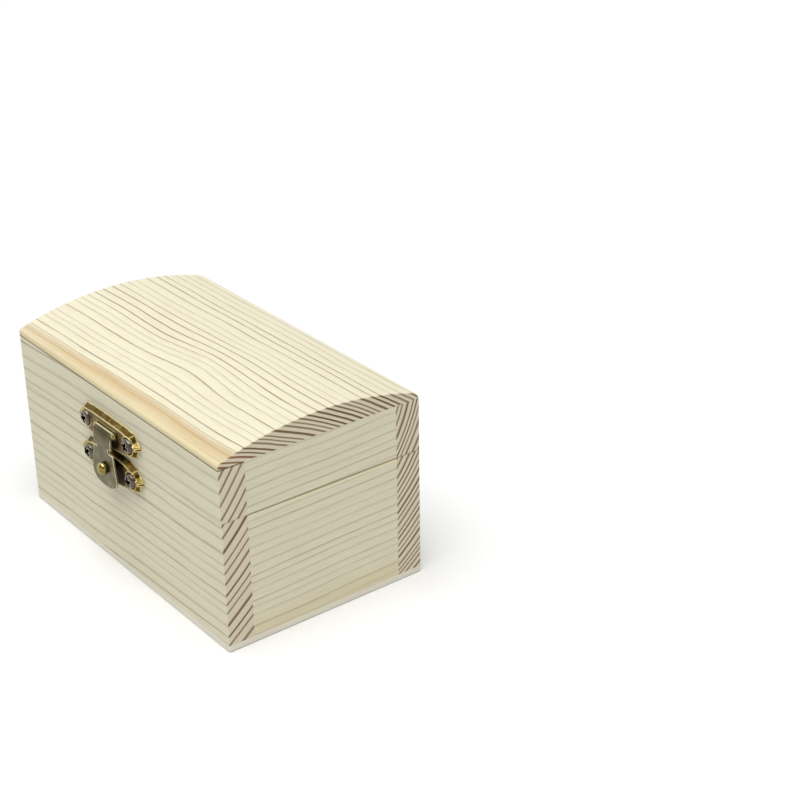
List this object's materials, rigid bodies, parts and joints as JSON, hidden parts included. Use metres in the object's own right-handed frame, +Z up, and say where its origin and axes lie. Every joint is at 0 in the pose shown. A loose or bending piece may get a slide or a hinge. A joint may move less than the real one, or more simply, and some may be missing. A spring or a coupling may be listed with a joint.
{
  "type": "wooden keepsake chest",
  "caption": "Small bare-pine chest with an arched, hinged lid and a stamped bronze clasp with a swinging tongue, for keepsakes or craft decoration.",
  "frame": {"origin": "middle of the underside of the bottom panel, on the surface that the chest stands on", "axes": "+X along the front from left to right, +Y from the clasp side to the hinge side, +Z up"},
  "size_m": [0.09, 0.0613, 0.0516],
  "materials": {
    "pine": "bare sanded pine, cut through all boards alike so that the rings show on the end grain",
    "antique_bronze": "dark antique bronze, worn bright on the rims",
    "bright_brass": "polished yellow brass",
    "screw_steel": "zinc-plated, slightly dull"
  },
  "bodies": {
    "box_body": {"bottom_panel": "pine", "body_front_board": "pine", "body_back_board": "pine", "body_left_end_board": "pine", "body_right_end_board": "pine", "clasp_lower_plate": "antique_bronze", "clasp_lower_plate_screws": "screw_steel", "left_hinge_body_leaf": "antique_bronze", "right_hinge_body_leaf": "antique_bronze", "left_hinge_pin": "bright_brass", "right_hinge_pin": "bright_brass", "hinge_body_leaf_screws": "screw_steel"},
    "lid": {"lid_top_board": "pine", "lid_front_board": "pine", "lid_back_board": "pine", "lid_left_end_board": "pine", "lid_right_end_board": "pine", "clasp_upper_plate": "antique_bronze", "clasp_upper_plate_screws": "screw_steel", "clasp_tongue_pin": "bright_brass", "left_hinge_lid_leaf": "antique_bronze", "right_hinge_lid_leaf": "antique_bronze", "hinge_lid_leaf_screws": "screw_steel"},
    "tongue": {"clasp_tongue": "antique_bronze", "clasp_knob": "bright_brass"}
  },
  "joints": [
    {"name": "lid_hinge", "type": "hinge", "parent": "box_body", "child": "lid", "pos_m": [0, 0.02845, 0.0327], "axis": [-1, 0, 0], "range_deg": [0, 180]},
    {"name": "tongue_pivot", "type": "hinge", "parent": "lid", "child": "tongue", "pos_m": [-0.0006, -0.02895, 0.03765], "axis": [-1, 0, 0], "range_deg": [0, 110]}
  ]
}
